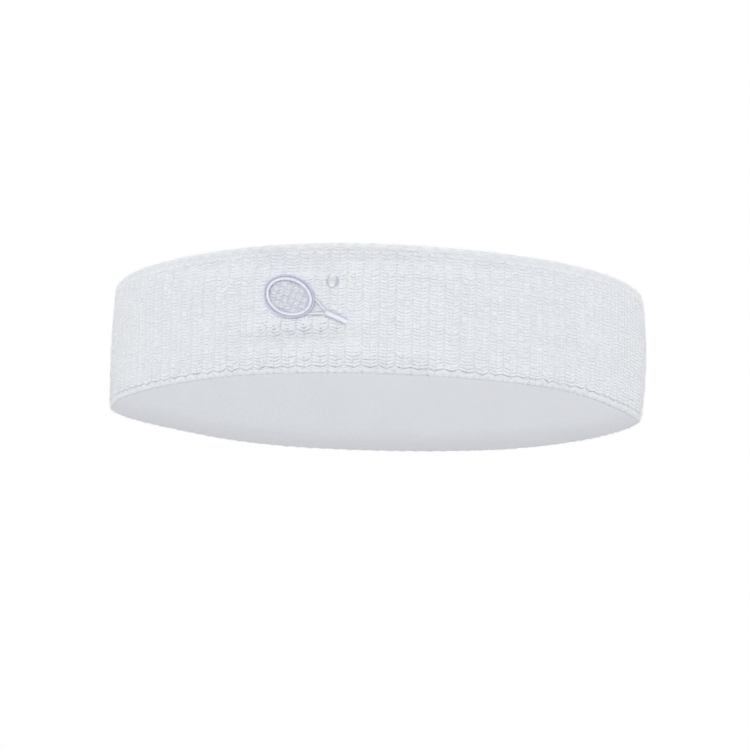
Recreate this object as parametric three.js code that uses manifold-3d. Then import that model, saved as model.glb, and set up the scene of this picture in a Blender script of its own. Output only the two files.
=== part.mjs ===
// A knitted sports headband, shown round and at the size it has on a head.
//
// The outside is a chunky knit tube whose two edges are turned in. A smooth lining covers the inside
// from edge to edge, in front of the turned edges. Between the two layers, a ring of linking thread
// runs along each turned edge and joins them, and elastic yarns run round the band between those.
// A small embroidered motif, a racket with a ball, sits on the front, with a patch of stabiliser
// behind it.
//
// Millimetres, +Z up. The band's axis is Z and it stands on its lower edge at z = 0. The motif is
// centred on -Y.

import * as THREE from 'three';
import { mergeVertices } from 'three/addons/utils/BufferGeometryUtils.js';
import Module from 'manifold-3d';

// ---------------------------------------------------------------------------------------------
// Driving dimensions
// ---------------------------------------------------------------------------------------------

const bandRadius = 90; // to the outer face
const bandHeight = 41;
const clearance = 0.3; // between any two layers of the band

const knitWall = 1.4;
const foldInnerRadius = 0.3; // inside radius of the fold at each edge
const hemTipRadius = 0.3; // rounding at the tip of the turned edge

const liningWall = 0.9;
const liningMargin = 0.3; // from the band's edge to the lining's
const linkingThreadDiameter = 0.6;

const yarnDiameter = 0.6;
const yarnCount = 12;
const yarnEdgeMargin = 4; // from each edge of the band to the nearest yarn

const backingWidth = 32;
const backingHeight = 21;
const backingThickness = 0.15;

const motifHeightOffset = 2.5; // above the middle of the band
const motifThickness = 0.8;
const motifGap = 0.3; // between the motif's threads and the face of the knit
const motifThreadGap = 0.3; // between neighbouring areas of stitching

const racketTilt = THREE.MathUtils.degToRad(-24);
const racketCentre = [-5.6, 1.2]; // of the head, from the motif's centre
const headLength = 16.4; // outside the white satin rim
const headWidth = 12;
const rimWidth = 1.3;
const outlineWidth = 0.5; // the lilac outline round the rim
const stringWidth = 0.45;
const stringPitch = 2.1;
const throatLength = 3.4; // beyond the end of the head
const throatSpread = 2.6; // from the racket's centre line to each of the throat's arms
const throatArmWidth = 0.9;
const handleLength = 7.4;
const handleWidth = 2.1;
const ballRadius = 2;
const ballCentre = [8.2, 5.8]; // from the motif's centre

const ringSteps = 56; // flat steps round the band
const foldSteps = 2; // pairs of steps round each rounded corner
const threadSides = 6;
const motifCurveSteps = 14;
const backingSteps = 12; // flat steps across the backing

// ---------------------------------------------------------------------------------------------
// Sizes that follow from them, from the outside in
// ---------------------------------------------------------------------------------------------

const knitInner = bandRadius - knitWall;
const backingOuter = knitInner - clearance;
const backingInner = backingOuter - backingThickness;
const yarnCentre = backingInner - clearance - yarnDiameter / 2;
const liningOuter = yarnCentre - yarnDiameter / 2 - clearance;
const liningInner = liningOuter - liningWall; // the inside of the band
const foldOuterRadius = knitWall + foldInnerRadius;
const hemTip = liningOuter + clearance; // how far in the turned edges reach
const linkingThreadHeight = knitWall + clearance + linkingThreadDiameter / 2; // past the hem
const yarnPitch = (bandHeight - 2 * yarnEdgeMargin) / (yarnCount - 1);
const motifHeight = bandHeight / 2 + motifHeightOffset;
const outlineInnerInset = -motifThreadGap; // insets are measured inwards from the rim's outside
const outlineOuterInset = outlineInnerInset - outlineWidth;
const outlineHalfLength = headLength / 2 - outlineOuterInset;
const outlineHalfWidth = headWidth / 2 - outlineOuterInset;
const throatEnd = outlineHalfLength + motifThreadGap + throatLength;
const handleStart = throatEnd + motifThreadGap;

// ---------------------------------------------------------------------------------------------
// Materials
// ---------------------------------------------------------------------------------------------

const fabric = (color, roughness) =>
  new THREE.MeshStandardMaterial({ color, roughness, metalness: 0 });

const knitWhite = fabric(0xe6e8ec, 0.95);
const liningGrey = fabric(0xd8dade, 0.9);
const threadWhite = fabric(0xf0f1f6, 0.5);
const threadLilac = fabric(0xb4b7de, 0.5);
const elasticWhite = fabric(0xe2e2dc, 0.7);
const backingWhite = fabric(0xf2f2f0, 0.9);

// ---------------------------------------------------------------------------------------------
// Helpers
// ---------------------------------------------------------------------------------------------

const band = new THREE.Group();

function addPiece(name, geometry, material) {
  const mesh = new THREE.Mesh(geometry, material);
  mesh.name = name;
  band.add(mesh);
  return mesh;
}

/** A closed outline of [radius, height] pairs, turned about the band's axis. */
function ringOf(points) {
  const geometry = new THREE.LatheGeometry(points, ringSteps);
  return geometry.rotateX(Math.PI / 2);
}

/** A ring of round thread about the band's axis. */
function threadRing(radius, height, diameter) {
  const section = new THREE.Path();
  section.absarc(radius, height, diameter / 2, 0, 2 * Math.PI);
  return ringOf(section.getPoints(threadSides / 2));
}

/** Bends a flat piece round the band: its x runs round from -Y, its y up, and its z outwards. */
function wrapRound(geometry, radius, height) {
  const place = geometry.getAttribute('position');
  for (let i = 0; i < place.count; i++) {
    const turn = place.getX(i) / radius;
    const out = radius + place.getZ(i);
    place.setXYZ(i, out * Math.sin(turn), -out * Math.cos(turn), height + place.getY(i));
  }
  return geometry;
}

/** A flat area of stitching, of the motif's thickness. */
const thickened = (shape) =>
  new THREE.ExtrudeGeometry(shape, {
    depth: motifThickness,
    bevelEnabled: false,
    curveSegments: motifCurveSteps,
  });

/** Lays a flat piece of the motif on the front of the knit. */
const onFront = (flat) => wrapRound(flat, bandRadius + motifGap, motifHeight);

/** A point of the racket's own frame, along its length and across it, in the motif's frame. */
function racketPoint(along, across) {
  const cos = Math.cos(racketTilt);
  const sin = Math.sin(racketTilt);
  return new THREE.Vector2(
    racketCentre[0] + along * cos - across * sin,
    racketCentre[1] + along * sin + across * cos,
  );
}

/** A straight bar of the racket, from one point of its frame to another. */
function racketBar(from, to, width) {
  const way = new THREE.Vector2(to[0] - from[0], to[1] - from[1]).normalize();
  const side = [(-way.y * width) / 2, (way.x * width) / 2];
  return new THREE.Shape([
    racketPoint(from[0] - side[0], from[1] - side[1]),
    racketPoint(to[0] - side[0], to[1] - side[1]),
    racketPoint(to[0] + side[0], to[1] + side[1]),
    racketPoint(from[0] + side[0], from[1] + side[1]),
  ]);
}

/** The ellipse that lies inset from the outside of the racket's rim. */
function headEllipse(inset) {
  const outline = new THREE.Shape();
  outline.absellipse(
    ...racketCentre,
    headLength / 2 - inset,
    headWidth / 2 - inset,
    0,
    2 * Math.PI,
    false,
    racketTilt,
  );
  return outline;
}

/** The band between two of those ellipses. */
function headRing(outerInset, innerInset) {
  const shape = headEllipse(outerInset);
  shape.holes.push(headEllipse(innerInset));
  return shape;
}

// ---------------------------------------------------------------------------------------------
// The knit, with both edges turned in
// ---------------------------------------------------------------------------------------------

/** Half of the knit's section, below the middle, from the tip of the hem round to the outside. */
function knitSectionBelow() {
  const section = new THREE.Path();
  section.moveTo(hemTip, knitWall);
  section.lineTo(hemTip, hemTipRadius);
  section.absarc(hemTip + hemTipRadius, hemTipRadius, hemTipRadius, Math.PI, 1.5 * Math.PI);
  section.absarc(
    bandRadius - foldOuterRadius, foldOuterRadius, foldOuterRadius, 1.5 * Math.PI, 2 * Math.PI,
  );
  return section.getPoints(foldSteps);
}

/** The inside of the fold, from the wall back to the hem. */
function knitInsideBelow() {
  const section = new THREE.Path();
  section.moveTo(knitInner, foldOuterRadius);
  section.absarc(
    bandRadius - foldOuterRadius, foldOuterRadius, foldInnerRadius, 2 * Math.PI, 1.5 * Math.PI, true,
  );
  return section.getPoints(foldSteps);
}

const mirroredAbove = (points) =>
  points.map((p) => new THREE.Vector2(p.x, bandHeight - p.y)).reverse();

function outerKnit() {
  const outside = knitSectionBelow();
  const inside = knitInsideBelow();
  return ringOf([
    ...outside, ...mirroredAbove(outside), ...mirroredAbove(inside), ...inside, outside[0].clone(),
  ]);
}

addPiece('outer_knit', outerKnit(), knitWhite);

// ---------------------------------------------------------------------------------------------
// The lining and the linking thread
// ---------------------------------------------------------------------------------------------

function lining() {
  const section = new THREE.Path();
  section.moveTo(liningInner, liningMargin);
  section.lineTo(liningOuter, liningMargin);
  section.lineTo(liningOuter, bandHeight - liningMargin);
  section.lineTo(liningInner, bandHeight - liningMargin);
  section.lineTo(liningInner, liningMargin);
  return ringOf(section.getPoints());
}

addPiece('inner_lining', lining(), liningGrey);

const linkingHeights = {
  lower_linking_thread: linkingThreadHeight,
  upper_linking_thread: bandHeight - linkingThreadHeight,
};
for (const [name, height] of Object.entries(linkingHeights)) {
  addPiece(name, threadRing(yarnCentre, height, linkingThreadDiameter), threadWhite);
}

// ---------------------------------------------------------------------------------------------
// The elastic yarns
// ---------------------------------------------------------------------------------------------

for (let i = 0; i < yarnCount; i++) {
  const name = `elastic_yarn_${String(i + 1).padStart(2, '0')}`;
  const height = yarnEdgeMargin + i * yarnPitch;
  addPiece(name, threadRing(yarnCentre, height, yarnDiameter), elasticWhite);
}

// ---------------------------------------------------------------------------------------------
// The embroidered motif and its backing
// ---------------------------------------------------------------------------------------------

addPiece('motif_rim', onFront(thickened(headRing(0, rimWidth))), threadWhite);

const outlineShape = headRing(outlineOuterInset, outlineInnerInset);
addPiece('motif_outline', onFront(thickened(outlineShape)), threadLilac);

/** Where the throat's arms start, at a distance across the racket: just past the outline. */
function throatStart(across) {
  const share = Math.sqrt(1 - (across / outlineHalfWidth) ** 2);
  return racketPoint(outlineHalfLength * share + motifThreadGap, across);
}

/** Two arms that meet at the handle. */
function throatShape() {
  const inner = throatSpread - throatArmWidth / 2;
  const outer = throatSpread + throatArmWidth / 2;
  return new THREE.Shape([
    throatStart(outer),
    throatStart(inner),
    racketPoint(throatEnd - throatArmWidth, 0),
    throatStart(-inner),
    throatStart(-outer),
    racketPoint(throatEnd, -handleWidth / 2),
    racketPoint(throatEnd, handleWidth / 2),
  ]);
}

addPiece('motif_throat', onFront(thickened(throatShape())), threadWhite);

const handle = racketBar([handleStart, 0], [handleStart + handleLength, 0], handleWidth);
addPiece('motif_handle', onFront(thickened(handle)), threadWhite);

const ball = new THREE.Shape();
ball.absarc(...ballCentre, ballRadius, 0, 2 * Math.PI);
addPiece('motif_ball', onFront(thickened(ball)), threadWhite);

const wasm = await Module();
wasm.setup();

/** A closed geometry as a manifold-3d solid. */
function solidOf(geometry) {
  geometry.deleteAttribute('normal');
  geometry.deleteAttribute('uv');
  const merged = mergeVertices(geometry);
  return new wasm.Manifold(
    new wasm.Mesh({
      numProp: 3,
      vertProperties: merged.getAttribute('position').array,
      triVerts: merged.getIndex().array,
    }),
  );
}

/** A manifold-3d solid as a geometry. */
function geometryOf(solid) {
  const mesh = solid.getMesh();
  return new THREE.BufferGeometry()
    .setAttribute('position', new THREE.BufferAttribute(mesh.vertProperties, 3))
    .setIndex(new THREE.BufferAttribute(mesh.triVerts, 1));
}

/** Where a set of strings lies across a space that reaches this far each way from its middle. */
function stringOffsets(reach) {
  const each = Math.floor((reach - stringWidth) / stringPitch);
  return Array.from({ length: 2 * each + 1 }, (_, i) => (i - each) * stringPitch);
}

/** Crossing strings, cut to the inside of the rim. */
function strings() {
  const length = headLength / 2 - rimWidth;
  const width = headWidth / 2 - rimWidth;
  const bars = [
    ...stringOffsets(width).map((y) => racketBar([-length, y], [length, y], stringWidth)),
    ...stringOffsets(length).map((x) => racketBar([x, -width], [x, width], stringWidth)),
  ];
  const grid = bars.map((bar) => solidOf(thickened(bar))).reduce((all, bar) => all.add(bar));
  const inside = solidOf(thickened(headEllipse(rimWidth + motifThreadGap)));
  return geometryOf(grid.intersect(inside));
}

addPiece('motif_strings', onFront(strings()), threadLilac);

const backing = new THREE.BoxGeometry(
  backingWidth, backingHeight, backingThickness, backingSteps, 1, 1,
);
backing.translate(0, 0, -backingThickness / 2);
addPiece('motif_backing', wrapRound(backing, backingOuter, motifHeight), backingWhite);

export default band;
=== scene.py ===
# %% [markdown]
# # A chunky knitted sports headband
# This lesson dresses a plain, measured model of a headband as a real one. The model gives the size
# of every piece. Here each piece gets its yarn: the outside is built from single stitch legs, the
# motif from single embroidery threads, and the lining from a fine jersey.
# Everything is in metres, in the model's own frame: +Z is up and the motif faces -Y.

# %% Load the measured model
import math

import bpy
import numpy as np
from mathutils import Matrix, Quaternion, Vector


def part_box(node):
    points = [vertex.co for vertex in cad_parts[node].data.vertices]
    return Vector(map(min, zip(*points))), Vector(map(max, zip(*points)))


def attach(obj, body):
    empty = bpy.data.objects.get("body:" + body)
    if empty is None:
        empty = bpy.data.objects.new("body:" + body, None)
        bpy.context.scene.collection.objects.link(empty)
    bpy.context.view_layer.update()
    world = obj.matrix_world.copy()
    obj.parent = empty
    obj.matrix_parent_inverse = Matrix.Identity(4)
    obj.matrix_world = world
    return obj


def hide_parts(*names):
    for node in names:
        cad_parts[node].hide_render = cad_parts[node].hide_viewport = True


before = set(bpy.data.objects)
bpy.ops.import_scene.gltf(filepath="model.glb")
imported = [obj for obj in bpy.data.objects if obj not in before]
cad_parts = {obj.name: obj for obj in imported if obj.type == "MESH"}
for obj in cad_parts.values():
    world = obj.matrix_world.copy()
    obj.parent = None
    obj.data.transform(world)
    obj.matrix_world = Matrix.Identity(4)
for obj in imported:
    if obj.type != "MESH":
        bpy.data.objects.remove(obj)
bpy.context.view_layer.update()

MM = 0.001
scene = bpy.context.scene

# %% [markdown]
# The camera comes first, so that every later choice can be judged through it. Products like this
# are shot with a long lens from a little below the lower edge, which shows the inside of the far
# half. The distance is given in band radii, because that sets how strong the perspective is.

# %% The camera
def mm(*values):
    """Millimetres as metres."""
    return values[0] * MM if len(values) == 1 else [value * MM for value in values]


outer_low, outer_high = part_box("outer_knit")
BAND_RADIUS = (outer_high[0] - outer_low[0]) / 2
BAND_HEIGHT = outer_high[2] - outer_low[2]
VIEW_TURN = math.radians(14.5)  # the camera stands this far round from the motif
VIEW_RISE = math.radians(-9.4)  # and looks up from below the band
VIEW_ROLL = math.radians(1.22)
VIEW_DISTANCE = 9.5 * BAND_RADIUS

camera = bpy.data.objects.new("camera", bpy.data.cameras.new("camera"))
scene.collection.objects.link(camera)
scene.camera = camera
back = Vector((
    math.sin(VIEW_TURN) * math.cos(VIEW_RISE),
    -math.cos(VIEW_TURN) * math.cos(VIEW_RISE),
    math.sin(VIEW_RISE),
))
camera.location = Vector((0, 0, BAND_HEIGHT / 2)) + VIEW_DISTANCE * back
camera.rotation_mode = "QUATERNION"
camera.rotation_quaternion = (-back).to_track_quat("-Z", "Y") @ Quaternion((0, 0, 1), VIEW_ROLL)
camera.data.lens = 121.5
camera.data.sensor_width = 36
camera.data.shift_x = -0.0045
camera.data.shift_y = -0.024
camera.data.clip_end = 10
print("camera", [round(value, 3) for value in camera.location], "m from the band's foot")

# %% [markdown]
# The measured pieces are rings about one axis, so two radii and two heights say all about each of
# them. They are read from the meshes themselves, and the new pieces are worked out from them.

# %% Read the rings
def ring(node):
    """The inner radius, outer radius, lowest and highest point of a ring-shaped piece."""
    points = np.array([v.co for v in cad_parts[node].data.vertices])
    radii = np.hypot(points[:, 0], points[:, 1])
    return radii.min(), radii.max(), points[:, 2].min(), points[:, 2].max()


LINING_IN, LINING_OUT, LINING_LOW, LINING_HIGH = ring("inner_lining")
YARN_NODES = sorted(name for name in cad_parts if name.startswith("elastic_yarn"))
LINKING_NODES = ("lower_linking_thread", "upper_linking_thread")
BACKING_OUT = ring("motif_backing")[1]
LAYER_GAP = mm(0.3)
KNIT_WALL = BAND_RADIUS - BACKING_OUT - LAYER_GAP
HEM_TIP = LINING_OUT + LAYER_GAP  # how far in the turned edges of the knit reach
lining_wall = LINING_OUT - LINING_IN
print("knit wall", round(KNIT_WALL / MM, 2), "mm, lining", round(lining_wall / MM, 2), "mm")

# %% [markdown]
# Cloth is never a true circle. This band was folded flat in its packet, so it is a little pointed
# where the two creases were and flatter between them. At the creases the edges of the band are
# tighter than its middle, so the sides lean in towards them. The layers are pressed together along
# the lower edge, and still more at the creases, so the band is thinnest there. It also has soft
# waves, and the embroidery pulls the knit in above the motif and pushes it out below.
# One function says all that. Every piece is made on the round band and then laid through it, so
# the layers move together and keep their gaps.

# %% The relaxed shape
CREASE_TURN = VIEW_TURN + math.pi / 2  # one packing crease; the other is opposite
FLATTENING = 0.027  # of the radius, halfway between the creases and the middles
CREASE_POINT = mm(0.6)  # how far a crease stands out
CREASE_SHARPNESS = 0.1
# At each crease, in mm: how far the side leans in at the lower edge, the middle and the upper edge.
LEANS = ((CREASE_TURN, 2.3, -0.1, 1.4), (CREASE_TURN + math.pi, 0.6, 0.0, 1.7))
LEAN_REACH = 0.5  # radians to each side of the crease
EDGE_PRESS, EDGE_PRESS_REACH = 0.5, mm(4)  # how much of its thickness the lower edge loses
CREASE_PRESS, CREASE_PRESS_REACH = 0.4, 0.3
MOTIF_HEIGHT = sum(corner[2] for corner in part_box("motif_backing")) / 2

# Swells and hollows of the knit, in mm: distance round from the motif's centre, height above it,
# half-width round, half-width up, and how far out.
SWELLS = (
    (0, 9.2, 12, 2.6, -1.9),
    (26, 12.2, 36, 2.4, -1.5),
    (-2, -8.6, 14, 2.6, 1.9),
    (-6, -13.0, 24, 2.4, -0.7),
    (10, -17.6, 26, 2.4, 0.6),
    (-26, 12.6, 24, 3.0, -1.1),
    (-62, 6.0, 20, 9.0, 0.8),
    (48, 2.0, 22, 7.0, 0.5),
    (88, -8.0, 30, 6.0, 0.6),
)
# How far the edges rise, in mm: at a turn, over a half-width, for the lower and the upper edge.
EDGE_RISES = (
    (-0.75, 0.45, 0.0, 0.8),
    (-0.35, 0.4, 1.2, 0.0),
    (0.95, 0.35, 0.8, 0.0),
    (CREASE_TURN, 0.16, 0.3, -0.3),
    (CREASE_TURN - 0.35, 0.38, -1.6, 0.0),
    (-1.85, 0.4, 1.1, 0.0),
    (math.pi, 0.9, -0.6, 0.0),
)
# Soft waves: how many go round, where they start in radians, and how far they reach in mm.
MIDDLE_OUT, EDGES_OUT = (3, 1.1, 0.35), (7, 0.4, 0.25)
LOWER_UP, UPPER_UP = (4, 0.5, 0.3), (5, 2.0, 0.3)


def turn_between(turn, other):
    """The signed angle from one turn to another, the short way round."""
    return (turn - other + math.pi) % (2 * math.pi) - math.pi


def hump(distance, reach):
    """A smooth hump that is 1 in its middle and fades over a reach."""
    return np.exp(-((distance / reach) ** 2))


def wave(turn, count, start, reach):
    """A soft wave round the band."""
    return mm(reach) * np.sin(count * turn + start)


def lay(turn, radius, height):
    """Where a point of the round band lies on the relaxed one; turn is 0 at the motif."""
    turn, radius, height = np.broadcast_arrays(turn, radius, height)
    rise = height / BAND_HEIGHT
    from_crease = turn - CREASE_TURN
    at_edge = hump(np.maximum(height, 0), EDGE_PRESS_REACH)
    at_crease = hump(np.sin(from_crease), CREASE_PRESS_REACH) * (1 - rise)
    pressed = (1 - EDGE_PRESS * at_edge) * (1 - CREASE_PRESS * at_crease)
    out = BAND_RADIUS - (BAND_RADIUS - radius) * pressed
    out = out * (1 - FLATTENING * np.sin(2 * from_crease) ** 2)
    out = out + CREASE_POINT * np.exp(-np.abs(np.sin(from_crease)) / CREASE_SHARPNESS)
    for crease, low, middle, high in LEANS:
        leaning = low * (1 - rise) ** 3 + middle * 4 * rise * (1 - rise) + high * rise ** 3
        out = out - mm(1) * leaning * hump(turn_between(turn, crease), LEAN_REACH)
    out = out + wave(turn, *MIDDLE_OUT) * np.sin(math.pi * rise)
    out = out + wave(turn, *EDGES_OUT) * np.cos(math.pi * rise)
    for across, up, half_round, half_up, depth in SWELLS:
        round_mm = turn_between(turn, mm(across) / BAND_RADIUS) * BAND_RADIUS / MM
        up_mm = (height - MOTIF_HEIGHT) / MM - up
        out = out + mm(depth) * hump(round_mm, half_round) * hump(up_mm, half_up)
    up = height + wave(turn, *LOWER_UP) * (1 - rise) + wave(turn, *UPPER_UP) * rise
    for at, half_width, low, high in EDGE_RISES:
        lift = low * (1 - rise) ** 2 + high * rise ** 2
        up = up + mm(1) * lift * hump(turn_between(turn, at), half_width)
    return np.stack([out * np.sin(turn), -out * np.cos(turn), up], axis=-1)


print("front of the band at", np.round(lay(0, BAND_RADIUS, MOTIF_HEIGHT) / MM, 1), "mm")

# %% [markdown]
# Two kinds of mesh are made by hand. A strip is a grid of points with a UV map that runs from 0 to
# 1 both ways: it is a guide that stitches are laid on. A swept ring is a closed section carried
# round the band. Both get their places from `lay`.

# %% A mesh over a grid of points
UV_NAME = "place"


def grid_mesh(name, points, uv, close_round=False, close_section=False):
    """A mesh over a grid of points [round, section, xyz], with a UV for each of its corners."""
    rounds, sections = points.shape[:2]
    mesh = bpy.data.meshes.new(name)
    faces = []
    corner_uv = []
    for i in range(rounds if close_round else rounds - 1):
        for j in range(sections if close_section else sections - 1):
            corners = [(i, j), (i + 1, j), (i + 1, j + 1), (i, j + 1)]
            faces.append([(a % rounds) * sections + b % sections for a, b in corners])
            corner_uv.extend(uv(a, b) for a, b in corners)
    mesh.from_pydata(points.reshape(-1, 3).tolist(), [], faces)
    mesh.uv_layers.new(name=UV_NAME).data.foreach_set("uv", np.array(corner_uv).ravel())
    mesh.shade_smooth()
    return mesh


def linked(name, mesh):
    """A mesh as an object of the scene."""
    made = bpy.data.objects.new(name, mesh)
    scene.collection.objects.link(made)
    return made


# %% Strips and swept rings
def lengths_along(section):
    """How far along a section each of its points lies."""
    return np.r_[0, np.cumsum(np.hypot(*np.diff(section, axis=0).T))]


def strip(name, turns, section):
    """A guide surface: an open section of (radius, height) points carried along the given turns."""
    section = np.array(section)
    lengths = lengths_along(section)
    points = lay(turns[:, None], section[None, :, 0], section[None, :, 1])
    last = len(turns) - 1
    mesh = grid_mesh(name, points, lambda i, j: (i / last, lengths[j] / lengths[-1]))
    return linked(name, mesh)


def swept_ring(name, section, steps, uv_round, uv_section):
    """A closed (radius, height) section, listed with the material on its left, carried round."""
    section = np.array(section)
    turns = np.arange(steps) / steps * 2 * math.pi
    points = lay(turns[:, None], section[None, :, 0], section[None, :, 1])
    lengths = lengths_along(np.vstack([section, section[:1]]))

    def uv(i, j):
        return i / steps * uv_round, lengths[j] * uv_section

    return linked(name, grid_mesh(name, points, uv, close_round=True, close_section=True))


# %% Parts of a section
def arc(centre, radius, start, end, steps):
    """Points of a round corner of a section, angles in degrees from the outward direction."""
    angles = np.radians(np.linspace(start, end, steps + 1))
    return [(centre[0] + radius * math.cos(a), centre[1] + radius * math.sin(a)) for a in angles]


def line(start, end, steps):
    """Points of a straight stretch of a section, without its last one."""
    return [tuple(np.array(start) + (np.array(end) - start) * i / steps) for i in range(steps)]


def section_length(section):
    """The length of an open section."""
    return float(lengths_along(np.array(section))[-1])

# %% [markdown]
# Materials and geometry are both made from nodes, so one helper adds a node to either kind of tree.
# It finds a socket by its name, and takes a plain value or another node's output.

# %% Node helpers
def outlet(node, name=None):
    """A node's output by name, or its first that is in use."""
    return next(s for s in node.outputs if s.enabled and name in (None, s.name))


def feed(tree, socket, value):
    """Links an output to a socket, or sets the socket's own value."""
    if isinstance(value, bpy.types.Node):
        value = outlet(value)
    if isinstance(value, bpy.types.NodeSocket):
        tree.links.new(value, socket)
    elif value is not None:
        socket.default_value = value


def add(tree, kind, settings=None, **feeds):
    """Adds a node; feeds are named after its sockets, with _ for a space."""
    node = tree.nodes.new(kind)
    for name, value in (settings or {}).items():
        setattr(node, name, value)
    for name, value in feeds.items():
        wanted = name.replace("_", " ")
        feed(tree, next(s for s in node.inputs if s.enabled and s.name == wanted), value)
    return node


def sums(tree, operation, *values):
    """A Math node on up to three values."""
    node = tree.nodes.new("ShaderNodeMath")
    node.operation = operation
    for socket, value in zip(node.inputs, values):
        feed(tree, socket, value)
    return node.outputs[0]


def times(tree, value, factor):
    """A value multiplied by another."""
    return sums(tree, "MULTIPLY", value, factor)


def vectors(tree, operation, *values):
    """A Vector Math node; a scale factor is given last."""
    node = tree.nodes.new("ShaderNodeVectorMath")
    node.operation = operation
    sockets = [s for s in node.inputs if s.enabled]
    for socket, value in zip(sockets, values):
        feed(tree, socket, value)
    return outlet(node)


def xyz(tree, x, y, z=0.0):
    """A vector from its three parts."""
    return outlet(add(tree, "ShaderNodeCombineXYZ", X=x, Y=y, Z=z))

# %% [markdown]
# ## Finishes
# The knit is soft spun yarn, so it is matt, with a faint sheen from the fibres that stand off it.
# Each stitch leg carries three values that its own mesh stores: how far along and how far around
# the yarn a point is, and a random tone. The first two draw the twist of the plies, whichever way
# the leg lies, and the tone keeps neighbours from being the same white. The first also darkens a
# leg towards its ends with painted shade, for where it goes down behind its neighbours.

# %% A cloth finish
def new_material(name, roughness, sheen):
    """An empty cloth material: its tree and its shader."""
    material = bpy.data.materials.new(name)
    material.use_nodes = True
    shader = material.node_tree.nodes["Principled BSDF"]
    shader.inputs["Roughness"].default_value = roughness
    shader.inputs["Specular IOR Level"].default_value = 0.25
    shader.inputs["Sheen Weight"].default_value = sheen
    shader.inputs["Sheen Roughness"].default_value = 0.5
    return material, material.node_tree, shader


def two_tone(tree, shader, amount, dark, light):
    """Colours a shader between two tones."""
    mix = add(tree, "ShaderNodeMix", {"data_type": "RGBA"}, Factor=amount, A=dark, B=light)
    tree.links.new(outlet(mix), shader.inputs["Base Color"])


def bumped(tree, shader, height, distance, strength=1.0):
    """Puts a height in metres times distance on a shader as bump."""
    bump = add(tree, "ShaderNodeBump", Height=height, Distance=distance, Strength=strength)
    tree.links.new(outlet(bump), shader.inputs["Normal"])


def stored(tree, name):
    """A value that the mesh stores under a name."""
    node = add(tree, "ShaderNodeAttribute", {"attribute_name": name})
    return node.outputs["Fac"]


def object_noise(tree, scale, detail=3.0):
    """Soft noise on the piece's own coordinates."""
    place = add(tree, "ShaderNodeTexCoord").outputs["Object"]
    noise = add(tree, "ShaderNodeTexNoise", Vector=place, Scale=scale, Detail=detail)
    return noise.outputs["Fac"]


# %% The yarn's finish
PLY_FUZZ = 0.4  # how deep the loose fibres are, of the depth between the plies
TONE_SPREAD = 0.5  # how much of the way from dark to light is left to a leg's own tone
CLOUD_SCALE, CLOUD_GAIN, CLOUD_SHIFT = 90.0, 1.1, -0.3


def twist(tree, plies, turns):
    """A wave that winds round a yarn as it runs along it."""
    along = times(tree, stored(tree, "along"), turns)
    around = times(tree, stored(tree, "around"), plies)
    return sums(tree, "SINE", times(tree, sums(tree, "ADD", along, around), 2 * math.pi))


def faded_ends(tree, shader, colour, reach):
    """Fades a yarn to another colour between two distances from its middle."""
    from_middle = sums(tree, "ABSOLUTE", sums(tree, "SUBTRACT", stored(tree, "along"), 0.5))
    share = add(
        tree, "ShaderNodeMapRange", {"clamp": True},
        Value=from_middle, From_Min=reach[0], From_Max=reach[1],
    )
    body = shader.inputs["Base Color"].links[0].from_socket
    two_tone(tree, shader, outlet(share), body, colour)


def yarn_material(
    name, dark, light, *, roughness, sheen, plies, turns, ply_depth, fibre_scale,
    ends=None, ends_reach=None,
):
    """Twisted yarn: colour by tone and cloudiness, plies and loose fibres as bump."""
    material, tree, shader = new_material(name, roughness, sheen)
    tone = times(tree, stored(tree, "tone"), TONE_SPREAD)
    cloud = object_noise(tree, CLOUD_SCALE)
    cloud = sums(tree, "MULTIPLY_ADD", cloud, CLOUD_GAIN, CLOUD_SHIFT)
    two_tone(tree, shader, sums(tree, "ADD", tone, cloud), dark, light)
    if ends:
        faded_ends(tree, shader, ends, ends_reach)
    plied = times(tree, twist(tree, plies, turns), ply_depth)
    fibres = times(tree, object_noise(tree, fibre_scale, 4.0), ply_depth * PLY_FUZZ)
    bumped(tree, shader, sums(tree, "ADD", plied, fibres), 1.0)
    return material


# %% The knit's yarns
KNIT_DARK = (0.83, 0.837, 0.873, 1)
KNIT_LIGHT = (0.915, 0.926, 0.943, 1)
# Painted shade: legs are painted darker towards their ends, where they go behind their neighbours.
KNIT_ENDS_PAINTED_SHADE = (0.70, 0.71, 0.75, 1)  # at the ends of a leg
SOFT_SPUN = {"roughness": 0.9, "sheen": 0.6, "plies": 2, "turns": 1.5, "fibre_scale": 3000.0}
knit_yarn = yarn_material(
    "knit_yarn", KNIT_DARK, KNIT_LIGHT, **SOFT_SPUN, ply_depth=mm(0.055),
    ends=KNIT_ENDS_PAINTED_SHADE, ends_reach=(0.24, 0.42),
)
fine_yarn = yarn_material("fine_yarn", KNIT_DARK, KNIT_LIGHT, **SOFT_SPUN, ply_depth=mm(0.02))
loose_fibre, tree, shader = new_material("loose_fibre", 0.95, 0.8)
two_tone(tree, shader, object_noise(tree, 400.0), (0.93, 0.935, 0.945, 1), (0.98, 0.98, 0.98, 1))
print("finishes", knit_yarn.name, fine_yarn.name, loose_fibre.name)
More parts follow.
